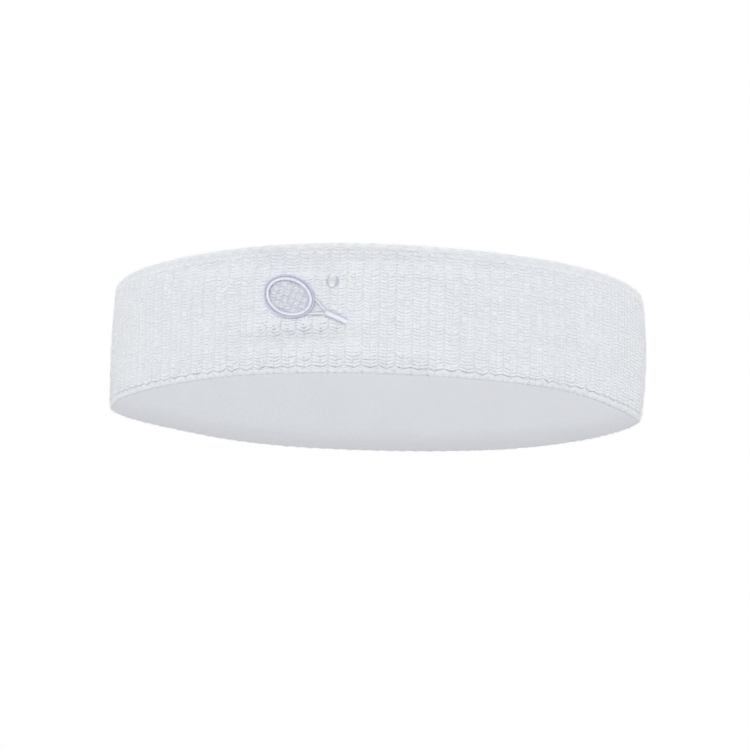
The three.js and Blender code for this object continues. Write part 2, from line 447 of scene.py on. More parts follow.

# %% [markdown]
# ## The stitches
# In this knit every stitch is a V of two legs, turned upside down, and the stretch of the band has
# spread the Vs until they are almost flat. From the front the legs stand in columns: they lean one
# way in one column and the other way in the next, and each course is a zigzag round the band.
# A rule like that is a job for Geometry Nodes. The tree lays a grid of points on a guide surface by
# its UV map, turns a leg to the surface at each one, and leans every second column the other way.
# At both ends a leg goes down behind its neighbours, so every column is a rib with a dark line on
# each side, partly real shadow and partly shade painted on the leg's ends. The finer legs at the
# edges are also raised a little where a pair of them meets.

# %% Start a tree and read its guide
def new_tree(name, sockets):
    """An empty Geometry Nodes tree with named inputs: the tree and the inputs' outlets."""
    tree = bpy.data.node_groups.new(name, "GeometryNodeTree")
    for label, kind in sockets.items():
        tree.interface.new_socket(label, in_out="INPUT", socket_type=f"NodeSocket{kind}")
    tree.interface.new_socket("Geometry", in_out="OUTPUT", socket_type="NodeSocketGeometry")
    return tree, tree.nodes.new("NodeGroupInput").outputs


def guide_readers(tree, guide_object):
    """Two functions, for a guide's position and its outward direction at a place of its UV map."""
    guide = outlet(add(tree, "GeometryNodeObjectInfo", Object=guide_object), "Geometry")
    uv_map = add(
        tree, "GeometryNodeInputNamedAttribute", {"data_type": "FLOAT_VECTOR"}, Name=UV_NAME
    )

    def reader(field_kind):
        field = outlet(add(tree, field_kind))
        return lambda u, v: outlet(add(
            tree, "GeometryNodeSampleUVSurface", {"data_type": "FLOAT_VECTOR"},
            Mesh=guide, Value=field, UV_Map=outlet(uv_map), Sample_UV=xyz(tree, u, v),
        ))

    return reader("GeometryNodeInputPosition"), reader("GeometryNodeInputNormal")


def way_round(tree, place_at, u, v, step):
    """Which way a guide runs round the band, read a step to each side."""
    ahead = place_at(sums(tree, "ADD", u, step), v)
    behind = place_at(sums(tree, "SUBTRACT", u, step), v)
    return vectors(tree, "SUBTRACT", ahead, behind)


def random_value(tree, low, high, seed, salt):
    """A random number for each point, from the tree's seed."""
    return outlet(add(
        tree, "FunctionNodeRandomValue", Min=low, Max=high, Seed=sums(tree, "ADD", seed, salt)
    ))

# %% Turn and place a shape
def facing(tree, first_axis, first, second_axis, second):
    """A rotation that points one axis of a shape one way, and another as near as it can."""
    return outlet(add(
        tree, "FunctionNodeAxesToRotation",
        {"primary_axis": first_axis, "secondary_axis": second_axis},
        Primary_Axis=first, Secondary_Axis=second,
    ))


def turned(tree, rotation, axis, angle):
    """A rotation with a further turn about one of the shape's own axes."""
    turn = add(tree, "FunctionNodeAxisAngleToRotation", Axis=axis, Angle=angle)
    return outlet(add(
        tree, "FunctionNodeRotateRotation", {"rotation_space": "LOCAL"},
        Rotation=rotation, Rotate_By=outlet(turn),
    ))


def scatter(tree, count, place, shape, rotation, scale=None):
    """Copies of a shape, one at each place."""
    points = add(tree, "GeometryNodePoints", Count=count)
    points = add(tree, "GeometryNodeSetPosition", Geometry=points, Position=place)
    return add(
        tree, "GeometryNodeInstanceOnPoints",
        Points=points, Instance=shape, Rotation=rotation, Scale=scale,
    )

# %% A length of yarn
def stored_on(tree, geometry, name, value, domain="POINT"):
    """Stores a value on a geometry under a name, for the material to read."""
    return add(
        tree, "GeometryNodeStoreNamedAttribute", {"data_type": "FLOAT", "domain": domain},
        Geometry=geometry, Name=name, Value=value,
    )


def yarn_round(tree, curve, thickness, sides, caps):
    """A curve made a round yarn that stores along and around."""
    share = outlet(add(tree, "GeometryNodeSplineParameter"), "Factor")
    profile = add(tree, "GeometryNodeCurvePrimitiveCircle", Resolution=sides, Radius=0.5)
    tube = add(
        tree, "GeometryNodeCurveToMesh", Curve=curve,
        Profile_Curve=stored_on(tree, profile, "around", share), Scale=thickness, Fill_Caps=caps,
    )
    return add(tree, "GeometryNodeSetShadeSmooth", Geometry=tube)


def yarn_piece(tree, start, middle, end, thickness, taper, segments, sides):
    """A bent length of yarn, thinner towards its ends."""
    curve = add(
        tree, "GeometryNodeCurveQuadraticBezier",
        Resolution=segments, Start=start, Middle=middle, End=end,
    )
    share = outlet(add(tree, "GeometryNodeSplineParameter"), "Factor")
    curve = stored_on(tree, curve, "along", share)
    # Nine tenths of a sine's hump, so that the ends keep some thickness.
    swell = sums(tree, "SINE", sums(tree, "MULTIPLY_ADD", share, math.pi * 0.9, math.pi * 0.05))
    swell = sums(tree, "POWER", swell, taper)
    return yarn_round(tree, curve, times(tree, swell, thickness), sides, caps=True)

# %% Finish a tree and run it
def finish_tree(tree, instances, seed, material):
    """Gives each instance a tone, makes them real and ends the tree."""
    toned = stored_on(
        tree, instances, "tone", random_value(tree, 0.0, 1.0, seed, 90), domain="INSTANCE"
    )
    real = add(tree, "GeometryNodeRealizeInstances", Geometry=toned)
    named = add(tree, "GeometryNodeSetMaterial", Geometry=real, Material=material)
    tree.links.new(outlet(named), tree.nodes.new("NodeGroupOutput").inputs["Geometry"])
    print("tree", tree.name, len(tree.nodes), "nodes")


def grow(name, tree, settings):
    """Runs a tree with these settings and keeps the result as a plain mesh."""
    carrier = linked(name, bpy.data.meshes.new(name))
    modifier = carrier.modifiers.new(name, "NODES")
    modifier.node_group = tree
    for item in tree.interface.items_tree:
        if item.in_out == "INPUT":
            modifier[item.identifier] = settings[item.name]
    carrier.update_tag()
    depsgraph = bpy.context.evaluated_depsgraph_get()
    mesh = bpy.data.meshes.new_from_object(
        carrier.evaluated_get(depsgraph), preserve_all_data_layers=True, depsgraph=depsgraph
    )
    carrier.modifiers.clear()
    carrier.data = mesh
    triangles = sum(len(face.vertices) - 2 for face in mesh.polygons)
    print(name, triangles, "triangles")
    return carrier


def grow_on(guide, name, tree, settings):
    """Grows a tree on a guide, and takes the guide away."""
    made = grow(name, tree, {"Surface": guide, **settings})
    bpy.data.objects.remove(guide)
    return made

# %% Where each stitch leg stands
legs_tree, given = new_tree("stitch_legs", {
    "Surface": "Object", "Columns": "Int", "Courses": "Int", "Lean": "Float", "Ridge": "Float",
    "Length": "Float", "Thickness": "Float", "Relief": "Float", "Looseness": "Float", "Seed": "Int",
    "Material": "Material",
})
# How far a leg strays at a looseness of 1: of a column, of a course, in radians, of its thickness.
STRAY_ROUND, STRAY_UP, STRAY_LEAN, STRAY_PLUMP = 0.03, 0.13, 0.14, 0.12


def loose(reach, salt):
    """A random number up to a reach either way, times the tree's looseness."""
    anywhere = random_value(legs_tree, -reach, reach, given["Seed"], salt)
    return times(legs_tree, anywhere, given["Looseness"])


def leg_share(number, shift, count):
    """How far across the guide a column or a course stands, a little shifted."""
    centre = sums(legs_tree, "ADD", sums(legs_tree, "ADD", number, 0.5), shift)
    return sums(legs_tree, "DIVIDE", centre, count)


index = outlet(add(legs_tree, "GeometryNodeInputIndex"))
course = sums(legs_tree, "DIVIDE", sums(legs_tree, "ADD", index, 0.5), given["Columns"])
course = sums(legs_tree, "FLOOR", course)
column = sums(legs_tree, "SUBTRACT", index, times(legs_tree, course, given["Columns"]))
u = leg_share(column, loose(STRAY_ROUND, 1), given["Columns"])
v = leg_share(course, loose(STRAY_UP, 2), given["Courses"])

# %% How each stitch leg lies
READ_STEP = 0.3  # of a column, to each side of the leg
place_at, outward_at = guide_readers(legs_tree, given["Surface"])
step = sums(legs_tree, "DIVIDE", READ_STEP, given["Columns"])
along = way_round(legs_tree, place_at, u, v, step)
rotation = facing(legs_tree, "Z", outward_at(u, v), "X", along)
odd = sums(legs_tree, "MODULO", sums(legs_tree, "ADD", column, 0.25), 2.0)
side = sums(legs_tree, "SIGN", sums(legs_tree, "SUBTRACT", 1.0, odd))
lean = sums(legs_tree, "ADD", times(legs_tree, side, given["Lean"]), loose(STRAY_LEAN, 3))
rotation = turned(legs_tree, rotation, (0, 0, 1), lean)
rotation = turned(legs_tree, rotation, (0, -1, 0), times(legs_tree, side, given["Ridge"]))

# %% The leg itself
# Shares of the thickness: how far the ends dip, the middle rises and the leg bows upwards.
dip, arch, bow = (times(legs_tree, given["Thickness"], share) for share in (-0.15, 0.25, 0.15))
half = times(legs_tree, given["Length"], 0.5)
leg = yarn_piece(
    legs_tree, xyz(legs_tree, times(legs_tree, half, -1.0), 0.0, dip),
    xyz(legs_tree, 0.0, bow, arch), xyz(legs_tree, half, 0.0, dip),
    given["Thickness"], taper=0.3, segments=6, sides=6,
)
flat = xyz(legs_tree, 1.0, 1.0, given["Relief"])
leg = add(legs_tree, "GeometryNodeTransform", Geometry=leg, Scale=flat)
plump = sums(legs_tree, "ADD", loose(STRAY_PLUMP, 4), 1.0)
legs = scatter(
    legs_tree, times(legs_tree, given["Columns"], given["Courses"]), place_at(u, v),
    leg, rotation, xyz(legs_tree, 1.0, plump, plump),
)
finish_tree(legs_tree, legs, given["Seed"], given["Material"])

# %% [markdown]
# Brushed yarn also has loose fibres that lie over the stitches and blur them. They go on at random
# places of the face, each one a thin bent hair that is turned at random about the way out.

# %% The fluff tree
fluff_tree, given = new_tree("fluff", {
    "Surface": "Object", "Hairs": "Int", "Length": "Float", "Thickness": "Float", "Seed": "Int",
    "Material": "Material",
})


def hair_point(x, y, z):
    """A point of the hair, in shares of its length."""
    return xyz(fluff_tree, *(times(fluff_tree, given["Length"], share) for share in (x, y, z)))


# The very ends of the guide are left out, because a reading there can miss its surface.
u = random_value(fluff_tree, 0.002, 0.998, given["Seed"], 1)
v = random_value(fluff_tree, 0.0, 1.0, given["Seed"], 2)
place_at, outward_at = guide_readers(fluff_tree, given["Surface"])
spin = random_value(fluff_tree, -math.pi, math.pi, given["Seed"], 3)
ANY_WAY = (0.3, 0.2, 0.9)  # only somewhere to start from, as each hair is spun afterwards
rotation = facing(fluff_tree, "Z", outward_at(u, v), "X", ANY_WAY)
hair = yarn_piece(
    fluff_tree, hair_point(0.0, 0.0, -0.1), hair_point(0.35, -0.2, 0.55),
    hair_point(0.9, 0.3, 0.05), given["Thickness"], taper=0.4, segments=4, sides=3,
)
size = random_value(fluff_tree, 0.5, 1.3, given["Seed"], 4)
hairs = scatter(
    fluff_tree, given["Hairs"], place_at(u, v), hair,
    turned(fluff_tree, rotation, (0, 0, 1), spin), xyz(fluff_tree, size, size, size),
)
finish_tree(fluff_tree, hairs, given["Seed"], given["Material"])

# %% [markdown]
# ## The knit
# The legs need something to lie in: a swept ring with the turned-in edges closes the knit, so that
# no light comes through. Its face lies just outside the legs' centre line, so they stand up from it
# in low relief, as stitches do that are pressed close together.
# The legs go on in four quarters, to keep each piece light. The coarse courses run from just above
# the lower edge to just below the upper one. Where the knit is turned in it is pulled tight, so the
# legs are finer and flatter there. At the upper edge that makes a soft roll. At the lower edge it
# is a narrow lip that stands back, and the last coarse course casts a scalloped shadow on it.

# %% Sections of the knit
COLUMNS = 224  # two for each wale
COURSE_PITCH = mm(1.0)
FOLD_RADIUS = KNIT_WALL + mm(0.3)  # outside radius of the fold at each edge
LEG_DEPTH = mm(0.32)  # of the legs' centre line below the band's outer face
BASE_DEPTH = mm(0.235)  # and of the base's face
HEM_ROUND = mm(0.12)  # radius of the hem's tip
LIP_HEIGHT = mm(2.1)  # of the turned-in part at the lower edge
LIP_DEPTH = mm(0.52)
ROLL_HEIGHT = mm(1.9)  # and at the upper edge
ROLL_DEPTH = mm(0.28)


def fold_section(depth, fall):
    """From the face at fall below the upper edge, up over the fold and in to the hem's tip."""
    centre = (BAND_RADIUS - FOLD_RADIUS, BAND_HEIGHT - FOLD_RADIUS)
    start = (BAND_RADIUS - depth, BAND_HEIGHT - fall)
    rise = max(1, round((centre[1] - start[1]) / mm(1.2)))
    tip = (HEM_TIP, BAND_HEIGHT - depth)
    return [
        *line(start, (start[0], centre[1]), rise),
        *arc(centre, FOLD_RADIUS - depth, 0, 90, 6),
        *arc((tip[0] + HEM_ROUND, tip[1] - HEM_ROUND), HEM_ROUND, 90, 180, 3),
        (tip[0], BAND_HEIGHT - KNIT_WALL),
    ]


def flipped(section):
    """A section turned upside down and run the other way, for the lower edge."""
    return [(radius, BAND_HEIGHT - height) for radius, height in reversed(section)]


coarse_section = line(
    (BAND_RADIUS - LEG_DEPTH, LIP_HEIGHT), (BAND_RADIUS - LEG_DEPTH, BAND_HEIGHT - ROLL_HEIGHT), 37
)
lip_section = flipped(fold_section(LIP_DEPTH, LIP_HEIGHT))
roll_section = fold_section(ROLL_DEPTH, ROLL_HEIGHT + mm(0.5))
print("coarse knit runs", round(section_length(coarse_section) / MM, 1), "mm up the band")

# %% The base of the knit
SWEEP_STEPS = 336  # of a swept ring, three for each wale
back_face = BAND_RADIUS - KNIT_WALL
inside_top = arc((BAND_RADIUS - FOLD_RADIUS, BAND_HEIGHT - FOLD_RADIUS), mm(0.3), 90, 0, 3)
base_section = [
    *flipped(fold_section(LIP_DEPTH, LIP_HEIGHT)),
    *fold_section(BASE_DEPTH, BAND_HEIGHT - LIP_HEIGHT - mm(0.3)), *inside_top,
    *line((back_face, BAND_HEIGHT - FOLD_RADIUS - mm(1)), (back_face, FOLD_RADIUS), 12),
    *flipped(inside_top),
]
knit_base = swept_ring("knit_base", base_section, SWEEP_STEPS, COLUMNS, 1 / COURSE_PITCH)
knit_base.data.materials.append(fine_yarn)
print("base", len(knit_base.data.polygons), "faces")

# %% The stitches, a quarter at a time
QUARTERS = ("front", "right", "back", "left")
QUARTER_TURN = math.pi / 2
FINE_PITCH = mm(0.62)  # of the courses where the knit is turned in
COARSE_LEGS = {
    "Columns": COLUMNS // 4, "Courses": round(section_length(coarse_section) / COURSE_PITCH),
    "Lean": math.radians(16), "Ridge": 0.0, "Length": mm(3.2), "Thickness": mm(1.22),
    "Relief": 0.27, "Looseness": 1.3, "Material": knit_yarn,
}
FINE_LEGS = {
    "Columns": COLUMNS // 4, "Lean": math.radians(14), "Ridge": math.radians(1),
    "Length": mm(3.0), "Thickness": mm(0.76), "Looseness": 0.6, "Material": fine_yarn,
}
FLUFF = {"Hairs": 7000, "Length": mm(1.5), "Thickness": mm(0.045), "Material": loose_fibre}
knit_pieces = [knit_base]
edge_pieces = []
for number, quarter in enumerate(QUARTERS):
    turns = (number - 0.5 + np.linspace(0, 1, SWEEP_STEPS // 4 + 1)) * QUARTER_TURN
    guide = strip(f"guide_{quarter}", turns, coarse_section)
    knit_pieces.append(
        grow_on(guide, f"knit_{quarter}", legs_tree, {**COARSE_LEGS, "Seed": 10 + number})
    )
    for edge, section, relief in (("lip", lip_section, 0.4), ("roll", roll_section, 0.28)):
        guide = strip(f"guide_{edge}_{quarter}", turns, section)
        edge_pieces.append(grow_on(guide, f"{edge}_{quarter}", legs_tree, {
            **FINE_LEGS, "Courses": round(section_length(section) / FINE_PITCH),
            "Relief": relief, "Seed": 20 + number,
        }))
    guide = strip(f"guide_fluff_{quarter}", turns, lip_section + coarse_section + roll_section)
    edge_pieces.append(
        grow_on(guide, f"fluff_{quarter}", fluff_tree, {**FLUFF, "Seed": 60 + number})
    )

# %% [markdown]
# ## The lining
# The lining is a fine jersey, brushed so that it is smooth against the skin. At this distance its
# stitches are too small to model, so it is a swept ring with rounded edges and soft waves, and its
# weave is in the material, on the UV map that runs round the band and up it. The linking pulls its
# edges against the hems.

# %% The jersey's finish
WEAVE_SLANT = 0.9  # how far the stitches rise towards the middle of a wale
RIB_ROUND, BEAD_ROUND = 0.6, 0.5  # powers that fill out the wales and the stitches


def weave_height(tree):
    """Rows of small rounded stitches on the UV map, one to each unit both ways."""
    place = add(tree, "ShaderNodeUVMap", {"uv_map": UV_NAME})
    split = add(tree, "ShaderNodeSeparateXYZ", Vector=outlet(place))
    across = times(tree, split.outputs["X"], math.pi)
    up = times(tree, split.outputs["Y"], math.pi)
    rib = sums(tree, "ABSOLUTE", sums(tree, "SINE", across))
    slanted = sums(tree, "MULTIPLY_ADD", rib, WEAVE_SLANT, up)
    bead = sums(tree, "ABSOLUTE", sums(tree, "SINE", slanted))
    wales = sums(tree, "POWER", rib, RIB_ROUND)
    return times(tree, wales, sums(tree, "POWER", bead, BEAD_ROUND))


jersey, tree, shader = new_material("jersey", 0.95, 0.2)
JERSEY_DARK = (0.742, 0.75, 0.775, 1)
JERSEY_LIGHT = (0.79, 0.796, 0.818, 1)
# Painted shade: near the lower edge the lining is painted darker, as the light is dimmer there.
# Its colour, the heights between which it fades in, and how strong it gets.
EDGE_PAINTED_SHADE, EDGE_SHADE_FROM, EDGE_SHADE_TO, EDGE_SHADE_SHARE = (0.66, 0.664, 0.70, 1), mm(8), mm(-1.5), 0.8
WEAVE_DEPTH, NAP_DEPTH = mm(0.03), mm(0.08)
cloudy = add(
    tree, "ShaderNodeMix", {"data_type": "RGBA"},
    Factor=object_noise(tree, 60.0), A=JERSEY_DARK, B=JERSEY_LIGHT,
)
place = add(tree, "ShaderNodeTexCoord").outputs["Object"]
height = add(tree, "ShaderNodeSeparateXYZ", Vector=place).outputs["Z"]
near_edge = add(
    tree, "ShaderNodeMapRange", {"clamp": True, "interpolation_type": "SMOOTHSTEP"},
    Value=height, From_Min=EDGE_SHADE_FROM, From_Max=EDGE_SHADE_TO, To_Max=EDGE_SHADE_SHARE,
)
# This paints the lining darker towards its lower edge: a painted shade.
two_tone(tree, shader, outlet(near_edge), outlet(cloudy), EDGE_PAINTED_SHADE)
weave = times(tree, weave_height(tree), WEAVE_DEPTH)
nap = times(tree, object_noise(tree, 2600.0, 4.0), NAP_DEPTH)
bumped(tree, shader, sums(tree, "ADD", weave, nap), 1.0)
print("finish", jersey.name)

# %% The lining
JERSEY_PITCH = mm(0.7)
LINING_EDGE = mm(0.35)  # radius of its edges on the inside
LINING_SEAM = mm(0.12)  # and where they lie against the hems
CORNER_STEPS, WALL_STEPS = 3, 20
low, high = LINING_LOW + LINING_EDGE, LINING_HIGH - LINING_EDGE
inner, seam = LINING_IN + LINING_EDGE, HEM_TIP + mm(0.1) - LINING_SEAM
lining_section = [
    *arc((seam, LINING_LOW + LINING_SEAM), LINING_SEAM, -90, 0, CORNER_STEPS),
    *line((LINING_OUT, low + mm(1.2)), (LINING_OUT, high - mm(1)), WALL_STEPS),
    (LINING_OUT, high - mm(0.9)),
    *arc((seam, LINING_HIGH - LINING_SEAM), LINING_SEAM, 0, 90, CORNER_STEPS),
    *arc((inner, high), LINING_EDGE, 90, 180, CORNER_STEPS),
    *line((LINING_IN, high - mm(1)), (LINING_IN, low), WALL_STEPS),
    *arc((inner, low), LINING_EDGE, 180, 270, CORNER_STEPS),
]
lining_round = round(2 * math.pi * LINING_IN / JERSEY_PITCH)
lining = swept_ring("lining", lining_section, SWEEP_STEPS, lining_round, 1 / JERSEY_PITCH)
lining.data.materials.append(jersey)
print("lining", lining_round, "wales round")

# %% [markdown]
# ## The linking thread
# Linking closes a hem with a chain stitch, in which each loop passes through the one before it.
# The tree bends a thread into one long loop and lays it along the guide, one loop for each link.

# %% The chain stitch tree
links_tree, given = new_tree("chain_links", {
    "Surface": "Object", "Links": "Int", "Length": "Float", "Width": "Float",
    "Thickness": "Float", "Seed": "Int", "Material": "Material",
})
MIDDLE = 0.5  # of the guide's height
LINK_READ_STEP = 0.4  # of a link, to each side of its middle
LINK_TILT = math.radians(5)  # each link rises a little over the one before it
index = outlet(add(links_tree, "GeometryNodeInputIndex"))
u = sums(links_tree, "DIVIDE", sums(links_tree, "ADD", index, 0.5), given["Links"])
place_at, outward_at = guide_readers(links_tree, given["Surface"])
step = sums(links_tree, "DIVIDE", LINK_READ_STEP, given["Links"])
along = way_round(links_tree, place_at, u, MIDDLE, step)
rotation = facing(links_tree, "Z", outward_at(u, MIDDLE), "X", along)
loop = add(links_tree, "GeometryNodeCurvePrimitiveCircle", Resolution=14, Radius=0.5)
share = outlet(add(links_tree, "GeometryNodeSplineParameter"), "Factor")
loop = stored_on(links_tree, loop, "along", share)
loop = add(
    links_tree, "GeometryNodeTransform", Geometry=loop,
    Scale=xyz(links_tree, given["Length"], given["Width"], 1.0),
)
loop = yarn_round(links_tree, loop, given["Thickness"], sides=5, caps=False)
links = scatter(
    links_tree, given["Links"], place_at(u, MIDDLE), loop,
    turned(links_tree, rotation, (0, 1, 0), LINK_TILT),
)
finish_tree(links_tree, links, given["Seed"], given["Material"])

# %% The two rows of linking
LINK_PITCH = mm(2.6)
LINK_HALF_WIDTH = mm(0.4)
linking_yarn = yarn_material(
    "linking_yarn", (0.74, 0.75, 0.77, 1), (0.84, 0.85, 0.86, 1), roughness=0.7, sheen=0.1,
    plies=3, turns=14, ply_depth=mm(0.03), fibre_scale=6000.0,
)
linking_pieces = []
for number, node in enumerate(LINKING_NODES):
    thread_in, thread_out, thread_low, thread_high = ring(node)
    middle = (thread_low + thread_high) / 2
    radius = (thread_in + thread_out) / 2
    guide = strip(
        f"{node}_guide", np.linspace(0, 2 * math.pi, SWEEP_STEPS + 1),
        [(radius, middle + side * LINK_HALF_WIDTH) for side in (1, 0, -1)],
    )
    linking_pieces.append(grow_on(guide, f"{node}_chain", links_tree, {
        "Links": round(2 * math.pi * radius / LINK_PITCH), "Length": LINK_PITCH * 1.25,
        "Width": mm(0.62), "Thickness": mm(0.26), "Seed": 30 + number, "Material": linking_yarn,
    }))

# %% [markdown]
# ## The elastic yarns
# A covered elastic yarn is a rubber core with a fine yarn wound round it. These lie between the
# knit and the lining, where nobody sees them, so each is one smooth swept ring. The winding is in
# the material, as a wave on the UV map.

# %% The elastic yarns
COVER_PITCH = mm(0.5)
covered, tree, shader = new_material("covered_elastic", 0.7, 0.1)
place = add(tree, "ShaderNodeUVMap", {"uv_map": UV_NAME})
split = add(tree, "ShaderNodeSeparateXYZ", Vector=outlet(place))
both = sums(tree, "ADD", split.outputs["X"], split.outputs["Y"])
winding = sums(tree, "SINE", times(tree, both, 2 * math.pi))
cover = sums(tree, "MULTIPLY_ADD", winding, 0.5, 0.5)
two_tone(tree, shader, cover, (0.7, 0.7, 0.66, 1), (0.8, 0.8, 0.77, 1))
bumped(tree, shader, winding, mm(0.04))

elastic_pieces = {}
for node in YARN_NODES:
    yarn_in, yarn_out, yarn_low, yarn_high = ring(node)
    radius = (yarn_out - yarn_in) / 2
    section = arc(((yarn_in + yarn_out) / 2, (yarn_low + yarn_high) / 2), radius, 0, 315, 7)
    windings = round(math.pi * (yarn_in + yarn_out) / COVER_PITCH)
    yarn = swept_ring(
        f"{node}_covered", section, SWEEP_STEPS // 2, windings, 1 / (2 * math.pi * radius)
    )
    yarn.data.materials.append(covered)
    elastic_pieces[node] = yarn
print(len(elastic_pieces), "elastic yarns")

# %% [markdown]
# ## The motif
# Satin stitch fills a narrow shape with threads that lie side by side from one edge to the other.
# The machine pulls each one tight at its ends and it stands up in the middle, which gives the
# stitching its shine. The guide is a strip between the shape's two edges. The tree lays a thread
# across it at even steps, and a slant takes the far end a little further along than the near one.

# %% The satin stitch tree
satin_tree, given = new_tree("satin_stitches", {
    "Surface": "Object", "Threads": "Int", "Slant": "Float", "Thickness": "Float",
    "Puff": "Float", "Seed": "Int", "Material": "Material",
})
UNIT_THREAD = mm(1.5)  # the length of the thread that is stretched to fit
place_at, outward_at = guide_readers(satin_tree, given["Surface"])
index = outlet(add(satin_tree, "GeometryNodeInputIndex"))
# No two threads are quite evenly spaced, and no two end quite on the same line.
number = sums(satin_tree, "ADD", index, random_value(satin_tree, 0.35, 0.65, given["Seed"], 1))
near_u = sums(satin_tree, "DIVIDE", number, given["Threads"])
near = place_at(near_u, random_value(satin_tree, 0.0, 0.04, given["Seed"], 2))
far_u = sums(satin_tree, "ADD", near_u, given["Slant"])
far = place_at(far_u, random_value(satin_tree, 0.96, 1.0, given["Seed"], 3))
across = vectors(satin_tree, "SUBTRACT", far, near)
outward = outward_at(sums(satin_tree, "MULTIPLY_ADD", given["Slant"], 0.5, near_u), 0.5)
SUNK_SHARE = -0.6  # of the thickness: the ends go down into the knit
sunk = times(satin_tree, given["Thickness"], SUNK_SHARE)
thread = yarn_piece(
    satin_tree, xyz(satin_tree, -UNIT_THREAD / 2, 0.0, sunk),
    xyz(satin_tree, 0.0, 0.0, given["Puff"]), xyz(satin_tree, UNIT_THREAD / 2, 0.0, sunk),
    given["Thickness"], taper=0.3, segments=6, sides=6,
)
middle = vectors(satin_tree, "SCALE", vectors(satin_tree, "ADD", near, far), 0.5)
stretch = sums(satin_tree, "DIVIDE", vectors(satin_tree, "LENGTH", across), UNIT_THREAD)
threads = scatter(
    satin_tree, given["Threads"], middle, thread,
    facing(satin_tree, "X", across, "Z", outward), xyz(satin_tree, stretch, 1.0, 1.0),
)
finish_tree(satin_tree, threads, given["Seed"], given["Material"])

# %% [markdown]
# The motif is a racket with a ball. Its sizes are the measured model's own, in millimetres: x runs
# round the band to the right of the motif's centre, and y runs up. A guide strip joins two edges,
# and each edge is a rule that gives a point for a share of the way along it.

# %% The motif's guide strips
RACKET_TILT = math.radians(-24)
RACKET_CENTRE = np.array([-5.6, 1.2])
HEAD_LENGTH, HEAD_WIDTH = 16.4, 12.0
RIM_WIDTH = 1.3
OUTLINE_GAP, OUTLINE_WIDTH = 0.1, 0.55
STRING_PITCH = 2.1
THROAT_SPREAD, THROAT_ARM_WIDTH = 2.6, 0.95
THROAT_END = 12.7  # along the racket from the head's centre
HANDLE_START, HANDLE_LENGTH, HANDLE_WIDTH = 12.9, 7.4, 2.1
BALL_CENTRE, BALL_RADIUS = np.array([8.2, 5.8]), 2.0
MOTIF_LIFT = mm(0.12)  # of the threads' ends from the band's outer face
GUIDE_STEPS = 48


def racket_point(along, across):
    """A point of the racket's own frame in the motif's."""
    cos, sin = math.cos(RACKET_TILT), math.sin(RACKET_TILT)
    return RACKET_CENTRE + (along * cos - across * sin, along * sin + across * cos)


def on_band(flat, lift):
    """Flat motif points, in millimetres, laid on the knit."""
    flat = np.array(flat)
    return lay(mm(flat[..., 0]) / BAND_RADIUS, BAND_RADIUS + lift, MOTIF_HEIGHT + mm(flat[..., 1]))


def edge_strip(name, near_edge, far_edge, extra=0.0):
    """A guide between two edges; extra carries a closed one on past its start."""
    shares = np.linspace(0, 1 + extra, GUIDE_STEPS + 1)
    middle_shares = (0.0, 0.5, 1.0)
    flat = [
        [near_edge(s) * (1 - m) + far_edge(s) * m for m in middle_shares] for s in shares
    ]
    points = on_band(flat, MOTIF_LIFT)
    mesh = grid_mesh(name, points, lambda i, j: (shares[i], middle_shares[j]))
    return linked(name, mesh)


def ellipse_edge(inset):
    """The ellipse that lies inset from the rim's outside, as an edge."""
    def edge(share):
        angle = -2 * math.pi * share
        return racket_point(
            (HEAD_LENGTH / 2 - inset) * math.cos(angle), (HEAD_WIDTH / 2 - inset) * math.sin(angle)
        )
    return edge


def straight_edge(start, end):
    """A straight edge between two points of the racket's own frame."""
    return lambda share: racket_point(*(np.array(start) + (np.array(end) - start) * share))

# %% The threads of the motif
SATIN_THREAD = mm(0.3)
RAYON = {
    "roughness": 0.35, "sheen": 0.5, "plies": 2, "turns": 5, "ply_depth": mm(0.015),
    "fibre_scale": 7000.0,
}
satin_white = yarn_material(
    "satin_white", (0.97, 0.975, 0.99, 1), (0.99, 0.99, 1.0, 1), **RAYON,
    ends=(0.70, 0.72, 0.88, 1), ends_reach=(0.2, 0.38),
)
satin_lilac = yarn_material(
    "satin_lilac", (0.72, 0.74, 0.90, 1), (0.83, 0.85, 0.98, 1), **RAYON
)
for rayon in (satin_white, satin_lilac):
    rayon.node_tree.nodes["Principled BSDF"].inputs["Specular IOR Level"].default_value = 0.6


def joined(pieces, name):
    """Several pieces made into one, under a new name."""
    if len(pieces) > 1:
        with bpy.context.temp_override(
            active_object=pieces[0], selected_editable_objects=pieces
        ):
            bpy.ops.object.join()
    pieces[0].name = name
    return pieces[0]


def satin(name, guides, threads, slant, puff, material, seed, thickness=SATIN_THREAD):
    """Satin stitches on one or more guides, joined into one piece."""
    return joined([
        grow_on(guide, f"{name}_{number}", satin_tree, {
            "Threads": threads, "Slant": slant, "Thickness": thickness,
            "Puff": puff, "Seed": seed + number, "Material": material,
        })
        for number, guide in enumerate(guides)
    ], name)


RING_OVERLAP, RING_SLANT = 0.06, 0.006  # shares of the way round


def ring_satin(name, outer_inset, inner_inset, threads, puff, material, seed):
    """Satin stitches between two ellipses round the racket's head."""
    edges = ellipse_edge(outer_inset), ellipse_edge(inner_inset)
    guide = edge_strip(f"{name}_guide", *edges, RING_OVERLAP)
    return satin(name, [guide], threads, RING_SLANT, puff, material, seed)


